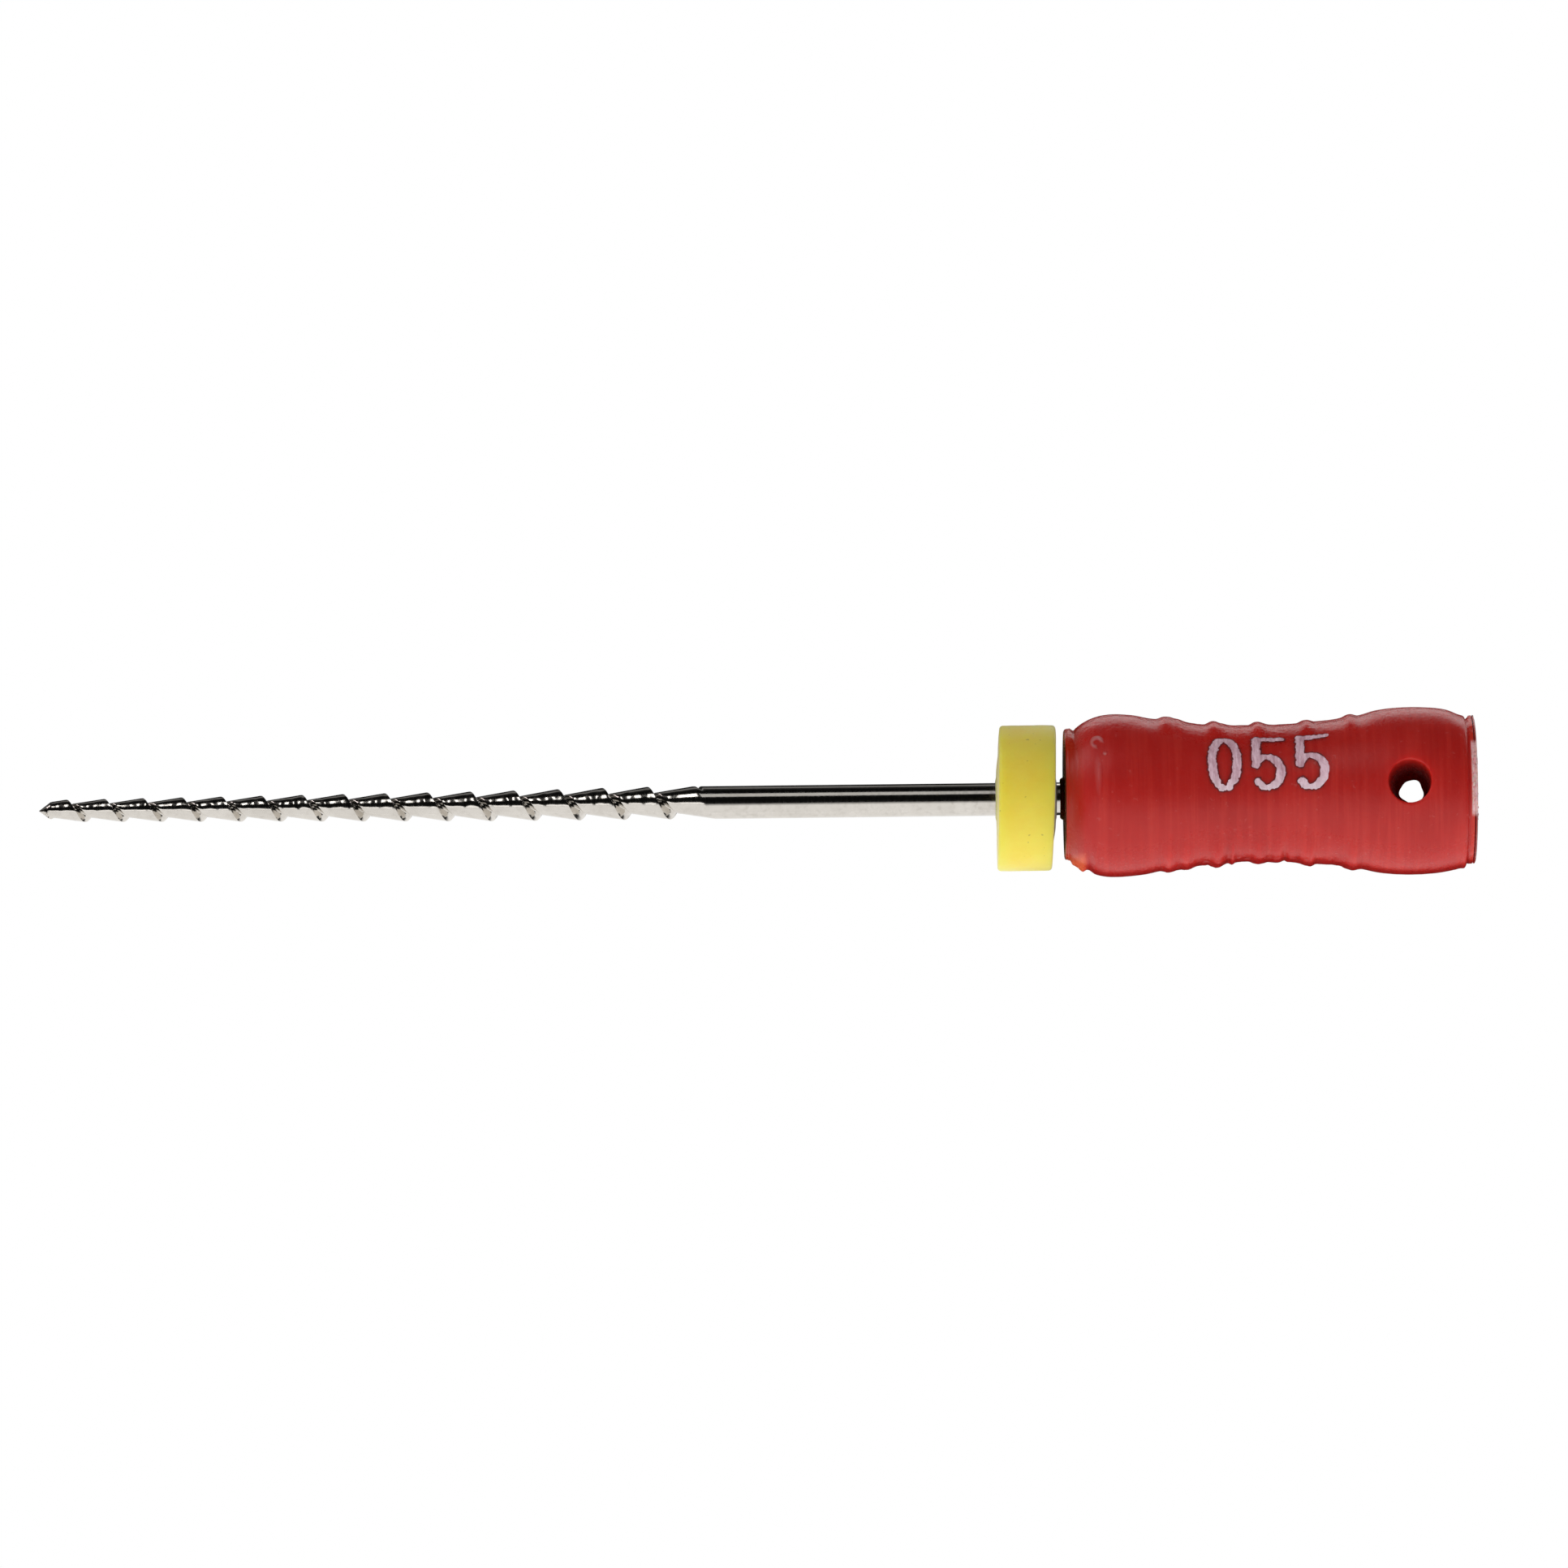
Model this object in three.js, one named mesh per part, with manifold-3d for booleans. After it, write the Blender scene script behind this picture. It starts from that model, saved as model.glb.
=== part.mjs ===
// An endodontic hand file of the Hedstroem type, colour code red: a nickel-titanium wire with a ground,
// spiralling flute, moulded into a plastic handle, and a silicone stop that slides along the wire.
//
// Millimetres. The file lies along X with its tip at -X and its handle at +X. +Z is up. The origin is the
// middle of the bounding box in X and Y, on the surface that the handle lies on.

import * as THREE from "three";
import { mergeVertices } from "three/addons/utils/BufferGeometryUtils.js";
import Module from "manifold-3d";

const wasm = await Module();
wasm.setup();

// Driving sizes

const WIRE_LENGTH = 25; // from the tip to the front of the handle
const HANDLE_LENGTH = 10;
const TIP_X = -(WIRE_LENGTH + HANDLE_LENGTH) / 2;
const HANDLE_X = TIP_X + WIRE_LENGTH;

const SHANK_RADIUS = 0.4;
const TIP_RADIUS = 0.265; // of the working part, carried on to the very tip
const TAPER = 0.0185; // growth of the diameter per millimetre of length
const TIP_HALF_ANGLE = THREE.MathUtils.degToRad(37);

const TANG_LENGTH = 7; // the end of the wire that the handle is moulded around
const TANG_CHAMFER = 0.12;
const TANG_NOTCH = { from: 4.4, to: 5.9, halfThickness: 0.22 }; // ground flats that lock the wire in the plastic
const MOULD_GAP = 0.03;

const STOP_RADIUS = 1.775;
const STOP_THICKNESS = 1.4;
const STOP_BORE = 0.425;
const STOP_CORNER = 0.16;
const STOP_LIP = { width: 0.11, height: 0.05 }; // the soft lip that the wire raises around the bore
const STOP_TO_HANDLE = 0.23;

const CROSS_HOLE = { from: 8.42, mouthRadius: 0.56, waistRadius: 0.37 };

const WIRE_SIDES = 20;
const ROUND_SIDES = 24;

// The flute: turn n of the cutting edge meets the +Y side of the wire at fluteStation(n) from the tip

const FIRST_EDGE = 0.657;
const FIRST_PITCH = 0.913;
const PITCH_GROWTH = 0.00703;
const FLUTE_START = -1; // turns
const RUN_OUT_START = 14.55;
const FLUTE_END = 15.35;
const CUT_ABOVE = 0.05; // how far the grinding wheel stands out of the wire
const EDGE_LAND = 0.03; // the narrow uncut margin left behind each cutting edge

const fluteStation = (n) => FIRST_EDGE + FIRST_PITCH * n + PITCH_GROWTH * n * n;

const taperRadius = (s) => Math.min(SHANK_RADIUS, TIP_RADIUS + (TAPER / 2) * s);

// Helpers

// A radius whose polygon has its flats, not its corners, at r.
const acrossFlats = (r, sides) => r / Math.cos(Math.PI / sides);

// A surface of revolution about X. The outline is [x, radius] pairs.
function turned(outline, sides, firstAngle = 0) {
  const points = outline.map(([x, r]) => new THREE.Vector2(r, x));
  const shape = new THREE.LatheGeometry(points, sides, firstAngle, 2 * Math.PI);
  return shape.rotateZ(-Math.PI / 2);
}

function toSolid(geometry) {
  const bare = geometry.clone();
  bare.deleteAttribute("normal");
  bare.deleteAttribute("uv");
  const merged = mergeVertices(bare, 1e-4);
  return new wasm.Manifold(
    new wasm.Mesh({
      numProp: 3,
      vertProperties: merged.getAttribute("position").array,
      triVerts: new Uint32Array(merged.index.array),
    }),
  );
}

function toGeometry(solid) {
  const { vertProperties, triVerts } = solid.getMesh();
  const geometry = new THREE.BufferGeometry();
  geometry.setAttribute("position", new THREE.BufferAttribute(vertProperties, 3));
  geometry.setIndex(new THREE.BufferAttribute(triVerts, 1));
  geometry.computeVertexNormals();
  return geometry;
}

// A closed body through a row of equal-sided loops, with a flat cap at each end.
function swept(loops, capTriangles) {
  const sides = loops[0].length;
  const last = (loops.length - 1) * sides;
  const index = [];
  for (let i = 0; i + 1 < loops.length; i++) {
    for (let j = 0; j < sides; j++) {
      const a = i * sides + j;
      const b = i * sides + ((j + 1) % sides);
      index.push(a, b, a + sides, b, b + sides, a + sides);
    }
  }
  for (const [a, b, c] of capTriangles) {
    index.push(a, c, b);
    index.push(last + a, last + b, last + c);
  }
  const geometry = new THREE.BufferGeometry().setFromPoints(loops.flat());
  return geometry.setIndex(index);
}

// Wire: cone point, tapered working part, plain shank and the tang inside the handle

function wireBlank() {
  const coneLength = TIP_RADIUS / Math.tan(TIP_HALF_ANGLE);
  const taperLength = (SHANK_RADIUS - TIP_RADIUS) / (TAPER / 2);
  const end = WIRE_LENGTH + TANG_LENGTH;
  return turned(
    [
      [0, 0],
      [coneLength, taperRadius(coneLength)],
      [taperLength, SHANK_RADIUS],
      [end - TANG_CHAMFER, SHANK_RADIUS],
      [end, SHANK_RADIUS - TANG_CHAMFER],
      [end, 0],
    ],
    WIRE_SIDES,
  );
}

// The flute's outline in the plane through the axis, as [distance from the tip, radius]: the steep face
// under the cutting edge, the deep root, the wall behind it, and the long cone that rises to the next edge.
function fluteSection(n) {
  const s = fluteStation(n);
  const pitch = fluteStation(n + 1) - s;
  const edge = taperRadius(s);
  const nextEdge = taperRadius(s + pitch);
  const runOut = THREE.MathUtils.smoothstep(n, RUN_OUT_START, FLUTE_END);
  const lift = runOut * (0.6 * edge + CUT_ABOVE);
  const coneLift = runOut * (0.4 * edge + CUT_ABOVE);
  return [
    [s, edge + lift + CUT_ABOVE],
    [s, edge + coneLift],
    [s + 0.06 * pitch, 0.42 * edge + lift],
    [s + 0.16 * pitch, 0.42 * edge + lift],
    [s + 0.23 * pitch, 0.64 * edge + coneLift],
    [s + pitch - EDGE_LAND, nextEdge + coneLift],
    [s + pitch - EDGE_LAND, nextEdge + lift + CUT_ABOVE],
  ];
}

function fluteCutter() {
  const steps = Math.ceil((FLUTE_END - FLUTE_START) * WIRE_SIDES);
  const loops = [];
  for (let i = 0; i <= steps; i++) {
    const n = FLUTE_START + i / WIRE_SIDES;
    const angle = 2 * Math.PI * n;
    loops.push(
      fluteSection(n).map(
        ([s, r]) => new THREE.Vector3(s, r * Math.cos(angle), r * Math.sin(angle)),
      ),
    );
  }
  const section = fluteSection(FLUTE_START).map(([s, r]) => new THREE.Vector2(s, r));
  return swept(loops, THREE.ShapeUtils.triangulateShape(section, []));
}

// The two pieces of air beside the flats on the tang. Grown, they shrink, so that the plastic in them
// keeps its gap to the wire.
function tangNotches(grow) {
  const length = TANG_NOTCH.to - TANG_NOTCH.from - 2 * grow;
  const height = SHANK_RADIUS;
  const middle = WIRE_LENGTH + (TANG_NOTCH.from + TANG_NOTCH.to) / 2;
  return [1, -1].map((side) => {
    const block = new THREE.BoxGeometry(length, 4 * SHANK_RADIUS, height);
    block.translate(middle, 0, side * (TANG_NOTCH.halfThickness + grow + height / 2));
    return toSolid(block);
  });
}

function fileBlank() {
  let solid = toSolid(wireBlank()).subtract(toSolid(fluteCutter()));
  for (const notch of tangNotches(0)) {
    solid = solid.subtract(notch);
  }
  return toGeometry(solid).translate(TIP_X, 0, 0);
}

// Handle: two bulges and a waist with grip ridges. Distances u are measured from the handle's front face.

const FRONT_RIM = { radius: 1.6, end: 0.24 };
const FRONT_BULGE = { at: 1.2, radius: 1.985 };
const WAIST = { at: 4.55, radius: 1.67 };
const REAR_BULGE = { at: 8.45, radius: 2.04 };
const REAR_RIM = { radius: 1.79, start: 9.78 };
const RIM_CHAMFER = 0.05;
const WAIST_SHARPNESS = 1.5;
const GRIP = { ridges: [2.53, 3.68, 4.75, 5.88, 6.95], height: 0.06, halfWidth: 0.24 };
const GRIP_FADE = { from: 0.66, to: 0.9 }; // of |y| / radius: the ridges stand on the two sides only
const BOSS = { radius: 0.5, footRadius: 0.56, height: 0.1 };

// A quarter ellipse from a rim to the crown of the bulge behind it.
function shoulder(u, rim, rimAt, bulge) {
  const share = (u - bulge.at) / (rimAt - bulge.at);
  return rim.radius + (bulge.radius - rim.radius) * Math.sqrt(Math.max(0, 1 - share * share));
}

// The fall from a bulge's crown to the waist.
function flank(u, bulge) {
  const share = (u - bulge.at) / (WAIST.at - bulge.at);
  const fall = (1 + Math.cos(Math.PI * share)) / 2;
  return WAIST.radius + (bulge.radius - WAIST.radius) * fall ** WAIST_SHARPNESS;
}

function bodyRadius(u) {
  if (u < FRONT_BULGE.at) return shoulder(u, FRONT_RIM, FRONT_RIM.end, FRONT_BULGE);
  if (u > REAR_BULGE.at) return shoulder(u, REAR_RIM, REAR_RIM.start, REAR_BULGE);
  return flank(u, u < WAIST.at ? FRONT_BULGE : REAR_BULGE);
}

function ridgeHeight(u) {
  const nearest = Math.min(...GRIP.ridges.map((ridge) => Math.abs(u - ridge)));
  const share = Math.min(1, nearest / GRIP.halfWidth);
  return GRIP.height * Math.cos((Math.PI / 2) * share) ** 2;
}

// Places along the handle where its outline needs a point, from front to rear.
function stations() {
  const between = (from, to, steps) =>
    Array.from({ length: steps + 1 }, (_, i) => from + ((to - from) * i) / steps);
  const first = GRIP.ridges[0] - GRIP.halfWidth;
  const last = GRIP.ridges.at(-1) + GRIP.halfWidth;
  return [
    FRONT_RIM.end,
    ...between(FRONT_RIM.end + RIM_CHAMFER, FRONT_BULGE.at, 4),
    ...between(FRONT_BULGE.at, first, 3).slice(1, -1),
    ...GRIP.ridges.flatMap((u) => between(u - GRIP.halfWidth, u + GRIP.halfWidth, 4)),
    ...between(last, REAR_BULGE.at, 4).slice(1),
    ...between(REAR_BULGE.at, REAR_RIM.start - RIM_CHAMFER, 4).slice(1),
    REAR_RIM.start,
  ];
}

function handleOutline() {
  const cavityRadius = acrossFlats(SHANK_RADIUS + MOULD_GAP, ROUND_SIDES);
  const body = stations().map((u) => [u, bodyRadius(u)]);
  const skin = [
    [RIM_CHAMFER, FRONT_RIM.radius],
    ...body,
    [HANDLE_LENGTH - RIM_CHAMFER, REAR_RIM.radius],
  ];
  return [
    [TANG_LENGTH + MOULD_GAP, 0],
    [TANG_LENGTH + MOULD_GAP, cavityRadius],
    [-BOSS.height, cavityRadius],
    [-BOSS.height, BOSS.radius],
    [0, BOSS.footRadius],
    [0, FRONT_RIM.radius - RIM_CHAMFER],
    ...skin.map(([u, r]) => [u, acrossFlats(r, ROUND_SIDES)]),
    [HANDLE_LENGTH, REAR_RIM.radius - RIM_CHAMFER],
    [HANDLE_LENGTH, 0],
  ];
}

// Lifts the grip ridges out of the skin on the +Y and -Y sides. They fade out towards top and bottom.
function raiseRidges(shape) {
  const position = shape.getAttribute("position");
  for (let i = 0; i < position.count; i++) {
    const [u, y, z] = [position.getX(i), position.getY(i), position.getZ(i)];
    const radius = Math.hypot(y, z);
    if (radius < WAIST.radius) continue;
    const side = THREE.MathUtils.smoothstep(Math.abs(y) / radius, GRIP_FADE.from, GRIP_FADE.to);
    const growth = 1 + (side * ridgeHeight(u)) / radius;
    position.setXYZ(i, u, y * growth, z * growth);
  }
  return shape;
}

// The cross hole narrows from both mouths to its waist on the handle's axis.
function crossHole() {
  const reach = 1.2 * REAR_BULGE.radius;
  const slope = (CROSS_HOLE.mouthRadius - CROSS_HOLE.waistRadius) / REAR_BULGE.radius;
  const endRadius = CROSS_HOLE.waistRadius + slope * reach;
  const outline = [
    [0, -reach],
    [endRadius, -reach],
    [CROSS_HOLE.waistRadius, 0],
    [endRadius, reach],
    [0, reach],
  ].map(([r, z]) => new THREE.Vector2(r, z));
  const hole = new THREE.LatheGeometry(outline, ROUND_SIDES);
  return hole.rotateX(Math.PI / 2).translate(CROSS_HOLE.from, 0, 0);
}

function handle() {
  const halfStep = Math.PI / ROUND_SIDES;
  const skin = raiseRidges(turned(handleOutline(), ROUND_SIDES, halfStep));
  let solid = toSolid(skin).subtract(toSolid(crossHole()));
  for (const notch of tangNotches(MOULD_GAP)) {
    const plastic = notch.translate([-WIRE_LENGTH, 0, 0]);
    solid = solid.add(plastic.intersect(toSolid(tangCavityFill())));
  }
  return toGeometry(solid).translate(HANDLE_X, 0, 0);
}

// A plug a little wider than the tang's cavity, which trims the plastic that fills the notches.
function tangCavityFill() {
  const plugRadius = SHANK_RADIUS + 3 * MOULD_GAP;
  return turned(
    [
      [0, 0],
      [0, plugRadius],
      [TANG_LENGTH, plugRadius],
      [TANG_LENGTH, 0],
    ],
    ROUND_SIDES,
  );
}

// Stop: a thick silicone disc, rounded at its rims, with a soft lip around the bore on both faces

function stopOutline() {
  const outer = acrossFlats(STOP_RADIUS, ROUND_SIDES);
  const half = STOP_THICKNESS / 2;
  const lipEnd = half + STOP_LIP.height;
  const cornerSteps = 3;
  const outline = [
    [-lipEnd, STOP_BORE],
    [-lipEnd, STOP_BORE + STOP_LIP.width / 2],
    [-half, STOP_BORE + STOP_LIP.width],
  ];
  for (const side of [-1, 1]) {
    for (let i = 0; i <= cornerSteps; i++) {
      const share = side < 0 ? i / cornerSteps : 1 - i / cornerSteps;
      const angle = (share * Math.PI) / 2;
      outline.push([
        side * (half - STOP_CORNER + STOP_CORNER * Math.cos(angle)),
        outer - STOP_CORNER + STOP_CORNER * Math.sin(angle),
      ]);
    }
  }
  outline.push([half, STOP_BORE + STOP_LIP.width]);
  outline.push([lipEnd, STOP_BORE + STOP_LIP.width / 2]);
  outline.push([lipEnd, STOP_BORE]);
  outline.push(outline[0]);
  return outline;
}

function siliconeStop() {
  const shape = turned(stopOutline(), ROUND_SIDES, Math.PI / ROUND_SIDES);
  const middle = HANDLE_X - STOP_TO_HANDLE - STOP_THICKNESS / 2;
  return toGeometry(toSolid(shape)).translate(middle, 0, 0);
}

// Materials and assembly

const nickelTitanium = new THREE.MeshStandardMaterial({
  color: 0xb9b6ae,
  roughness: 0.28,
  metalness: 1,
});
const redPlastic = new THREE.MeshStandardMaterial({
  color: 0xa3211d,
  roughness: 0.42,
  metalness: 0,
});
const yellowSilicone = new THREE.MeshStandardMaterial({
  color: 0xd9c24a,
  roughness: 0.55,
  metalness: 0,
});

function piece(name, geometry, material) {
  const mesh = new THREE.Mesh(geometry, material);
  mesh.name = name;
  return mesh;
}

const file = new THREE.Group();
file.add(piece("file_blank", fileBlank(), nickelTitanium));
file.add(piece("handle", handle(), redPlastic));
file.add(piece("silicone_stop", siliconeStop(), yellowSilicone));

// The handle lies on its bulges, which lifts the axis to the radius that they rest on.
file.position.z = -new THREE.Box3().setFromObject(file).min.z;

export default file;
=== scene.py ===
import math

import bmesh
import bpy
import numpy as np
from mathutils import Matrix, Vector


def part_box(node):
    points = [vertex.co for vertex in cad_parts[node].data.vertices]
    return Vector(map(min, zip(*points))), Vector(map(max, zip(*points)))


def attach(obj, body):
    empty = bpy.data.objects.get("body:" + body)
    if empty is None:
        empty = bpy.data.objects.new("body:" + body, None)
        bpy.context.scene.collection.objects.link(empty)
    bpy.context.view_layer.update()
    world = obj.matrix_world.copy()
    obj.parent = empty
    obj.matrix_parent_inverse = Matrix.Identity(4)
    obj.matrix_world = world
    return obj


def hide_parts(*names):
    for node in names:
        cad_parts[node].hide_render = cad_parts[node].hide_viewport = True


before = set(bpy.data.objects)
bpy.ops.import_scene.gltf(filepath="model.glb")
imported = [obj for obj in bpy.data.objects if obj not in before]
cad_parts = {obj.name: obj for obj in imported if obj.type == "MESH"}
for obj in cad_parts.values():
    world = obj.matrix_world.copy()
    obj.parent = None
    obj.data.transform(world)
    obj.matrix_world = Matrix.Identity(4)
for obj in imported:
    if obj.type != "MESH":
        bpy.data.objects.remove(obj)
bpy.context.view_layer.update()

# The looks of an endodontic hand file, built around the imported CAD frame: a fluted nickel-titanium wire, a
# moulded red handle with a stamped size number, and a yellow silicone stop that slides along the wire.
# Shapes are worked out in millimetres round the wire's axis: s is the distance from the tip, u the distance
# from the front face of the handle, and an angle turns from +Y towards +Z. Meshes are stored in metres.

MM = 0.001
TURN = 2 * math.pi

# Places, from the CAD frame

blank_low, blank_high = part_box("file_blank")
handle_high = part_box("handle")[1]
stop_low, stop_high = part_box("silicone_stop")
TIP_X = blank_low.x / MM
AXIS_Z = (stop_low.z + stop_high.z) / 2 / MM
STOP_X = (stop_low.x + stop_high.x) / 2 / MM

# Driving sizes: those of the CAD model, apart from the cutting edge's land, the cross hole's place, the
# bores, the stop's corner and lip, and the details that only the looks have

HANDLE_LENGTH = 10
HANDLE_X = handle_high.x / MM - HANDLE_LENGTH
WIRE_LENGTH = HANDLE_X - TIP_X
TANG_LENGTH = blank_high.x / MM - HANDLE_X

SHANK_RADIUS = 0.4
TIP_RADIUS = 0.265
TAPER = 0.0185
TIP_HALF_ANGLE = math.radians(37)
TANG_CHAMFER = 0.12
NOTCH_FROM, NOTCH_TO, NOTCH_HALF_THICKNESS = 4.4, 5.9, 0.22

FIRST_EDGE = 0.657
FIRST_PITCH = 0.913
PITCH_GROWTH = 0.00703
FLUTE_START = -1
RUN_OUT_START = 14.55
FLUTE_END = 15.35
CUT_ABOVE = 0.05
ROOT_LIFT, CONE_LIFT = 0.6, 0.4  # shares of the radius by which the cut rises where it runs out
EDGE_LAND = 0.015
WIRE_BEND = 0.03  # how far the fluted part sits towards -Y of the shank's axis
BEND_FROM, BEND_TO = 10.5, 15.2  # the bend fades out along this stretch, so that the stop still passes

FRONT_RIM_RADIUS, FRONT_RIM_END = 1.6, 0.24
FRONT_BULGE_AT, FRONT_BULGE_RADIUS = 1.2, 1.985
WAIST_AT, WAIST_RADIUS, WAIST_SHARPNESS = 4.55, 1.67, 1.5
REAR_BULGE_AT, REAR_BULGE_RADIUS = 8.45, 2.04
REAR_RIM_RADIUS, REAR_RIM_START = 1.79, 9.78
RIDGES = (2.53, 3.68, 4.75, 5.88, 6.95)
RIDGE_HEIGHT, RIDGE_HALF_WIDTH = 0.06, 0.24
BOSS_RADIUS, BOSS_FOOT_RADIUS, BOSS_HEIGHT = 0.5, 0.56, 0.1
HOLE_AT, HOLE_MOUTH, HOLE_WAIST = 8.48, 0.56, 0.37
HOLE_LEAN, HOLE_FLASH = 0.07, 0.085  # sideways per mm of depth, and the film of plastic left at the waist
HOLE_ROLL = 0.07  # radius of its rounded rims
BORE_RADIUS = 0.405  # plastic and silicone sit tight on the wire

STOP_RADIUS, STOP_THICKNESS, STOP_CORNER = 1.775, 1.4, 0.085
LIP_WIDTH, LIP_HEIGHT = 0.1, 0.024
STOP_TILT, STOP_WEDGE, STOP_RAISED = 0.029, 0.008, 0.025  # mm per mm, mm per mm and mm
STOP_FACE_INSET, STOP_FACE_BOW, STOP_FACE_UNEVEN = 0.024, 0.02, 0.012


# Numbers

def smoothstep(x, low, high):
    share = np.clip((x - low) / (high - low), 0, 1)
    return share * share * (3 - 2 * share)


def wobble(along, around, step, cells, seed):
    """Smooth noise from -1 to 1, with a knot at every step along and cells knots in each turn around."""
    along, around = np.broadcast_arrays(np.asarray(along, float), np.asarray(around, float))
    a = (along - along.min()) / step
    b = (around % 1) * cells
    rows = int(a.max()) + 3
    knots = np.random.default_rng(seed).uniform(-1, 1, (rows, cells))
    i, j = a.astype(int), b.astype(int) % cells
    f, g = a - i, b - b.astype(int)
    f, g = f * f * (3 - 2 * f), g * g * (3 - 2 * g)
    k = (j + 1) % cells
    low = knots[i, j] * (1 - g) + knots[i, k] * g
    high = knots[i + 1, j] * (1 - g) + knots[i + 1, k] * g
    return low * (1 - f) + high * f


# Mesh building

def make_object(name, vertices, faces, sharp_angle, material):
    """A closed mesh from millimetre points round the wire's axis, merged, with its normals out."""
    mesh = bpy.data.meshes.new(name)
    mesh.from_pydata(np.asarray(vertices, float).tolist(), [], faces)
    tidy = bmesh.new()
    tidy.from_mesh(mesh)
    bmesh.ops.remove_doubles(tidy, verts=tidy.verts, dist=2e-4)
    bmesh.ops.dissolve_degenerate(tidy, edges=tidy.edges, dist=1e-5)
    bmesh.ops.recalc_face_normals(tidy, faces=tidy.faces)
    tidy.to_mesh(mesh)
    tidy.free()
    shown = bpy.data.objects.new(name, mesh)
    bpy.context.scene.collection.objects.link(shown)
    finish_mesh(shown, sharp_angle, material)
    return shown


def finish_mesh(shown, sharp_angle, material):
    shown.data.polygons.foreach_set("use_smooth", [True] * len(shown.data.polygons))
    shown.data.set_sharp_from_angle(angle=math.radians(sharp_angle))
    shown.data.polygons.foreach_set("material_index", [0] * len(shown.data.polygons))
    shown.data.materials.clear()
    shown.data.materials.append(material)


def to_frame(shown):
    """Moves a finished millimetre mesh from the wire's axis to its place in the frame, in metres."""
    place = Matrix.Scale(MM, 4) @ Matrix.Translation((0, 0, AXIS_Z))
    shown.data.transform(place)
    shown.data.update()


def round_points(x, radius, angle):
    x, radius, angle = np.broadcast_arrays(x, radius, angle)
    return np.stack([x, radius * np.cos(angle), radius * np.sin(angle)], -1)


def ring_faces(rows, columns, first=0):
    """Quads between neighbouring rings of points."""
    faces = []
    for i in range(rows - 1):
        for j in range(columns):
            k = (j + 1) % columns
            a, b = first + i * columns, first + (i + 1) * columns
            faces.append((a + j, b + j, b + k, a + k))
    return faces


# Wire

def taper_radius(s):
    return np.minimum(SHANK_RADIUS, TIP_RADIUS + TAPER / 2 * s)


def blank_radius(s):
    cone = s * math.tan(TIP_HALF_ANGLE)
    end = WIRE_LENGTH + TANG_LENGTH
    chamfer = SHANK_RADIUS - TANG_CHAMFER + (end - s)
    return np.minimum(np.minimum(taper_radius(s), cone), chamfer)


def flute_station(n):
    return FIRST_EDGE + FIRST_PITCH * n + PITCH_GROWTH * n * n


# The flute's section over one pitch, as (share of the pitch, share of the edge's radius): the face under the
# cutting edge, the round root, and the corner where the long cone starts.
FLUTE_SECTION = (
    (0.0, 1.0), (0.004, 0.93), (0.01, 0.8), (0.018, 0.66), (0.031, 0.53),
    (0.049, 0.44), (0.072, 0.395), (0.098, 0.385), (0.123, 0.405), (0.146, 0.46),
    (0.166, 0.535), (0.18, 0.6), (0.191, 0.632), (0.204, 0.648),
)
CONE_STEPS = 9
WIRE_COLUMNS = 144


def flute_profile(n):
    """Stations and radii of one turn of the flute, ending just before the next cutting edge."""
    s = flute_station(n)
    pitch = flute_station(n + 1) - s
    edge, next_edge = taper_radius(s), taper_radius(s + pitch)
    run_out = smoothstep(n, RUN_OUT_START, FLUTE_END)
    root_lift = run_out * (ROOT_LIFT * edge + CUT_ABOVE)
    cone_lift = run_out * (CONE_LIFT * edge + CUT_ABOVE)
    cone_start, cone_base = FLUTE_SECTION[-1]
    rows = [(s + share * pitch, of_edge * edge + root_lift) for share, of_edge in FLUTE_SECTION]
    for i in range(1, CONE_STEPS + 1):
        step = i / CONE_STEPS
        at = s + cone_start * pitch + step * ((1 - cone_start) * pitch - EDGE_LAND)
        rows.append((at, (1 - step) * cone_base * edge + step * next_edge + cone_lift))
    return rows


def fluted_wire(material):
    """A grid whose rows follow the cutting edge's helix, so that the edge stays sharp all the way."""
    shank_start = flute_station(FLUTE_END + 1)
    per_turn = len(FLUTE_SECTION) + CONE_STEPS
    turns = math.ceil(FLUTE_END) + 2 - FLUTE_START
    rows = turns * per_turn
    s = np.zeros((rows, WIRE_COLUMNS))
    r = np.zeros((rows, WIRE_COLUMNS))
    for j in range(WIRE_COLUMNS):
        column = []
        for turn in range(turns):
            column += flute_profile(FLUTE_START - 1 + turn + j / WIRE_COLUMNS)
        s[:, j], r[:, j] = np.array(column).T
    s = np.clip(s, 0, shank_start)
    r = np.minimum(r, blank_radius(s))
    r[s >= shank_start] = SHANK_RADIUS
    angle = np.arange(WIRE_COLUMNS) / WIRE_COLUMNS * TURN
    points = [round_points(TIP_X + s, r, angle).reshape(-1, 3)]
    faces = helix_faces(rows, WIRE_COLUMNS, per_turn)

    stations, radii = shank_grid(shank_start, angle)
    first = rows * WIRE_COLUMNS
    points.append(round_points(TIP_X + stations, radii, angle).reshape(-1, 3))
    faces += ring_faces(len(stations), WIRE_COLUMNS, first)
    last_ring = first + (len(stations) - 1) * WIRE_COLUMNS
    faces.append(tuple(last_ring + j for j in range(WIRE_COLUMNS)))
    points = np.concatenate(points)
    points[:, 1] -= WIRE_BEND * smoothstep(points[:, 0] - TIP_X, BEND_TO, BEND_FROM)
    wire = make_object("ground_wire", points, faces, 32, material)
    to_frame(wire)
    return wire


def helix_faces(rows, columns, per_turn):
    """Quads of a grid whose last column joins its first one turn further on."""
    faces = []
    for i in range(rows - 1):
        for j in range(columns - 1):
            a, b = i * columns + j, (i + 1) * columns + j
            faces.append((a, b, b + 1, a + 1))
        if i + per_turn + 1 < rows:
            a, b = i * columns + columns - 1, (i + 1) * columns + columns - 1
            c, d = (i + per_turn) * columns, (i + per_turn + 1) * columns
            faces.append((a, b, d, c))
    return faces


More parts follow.
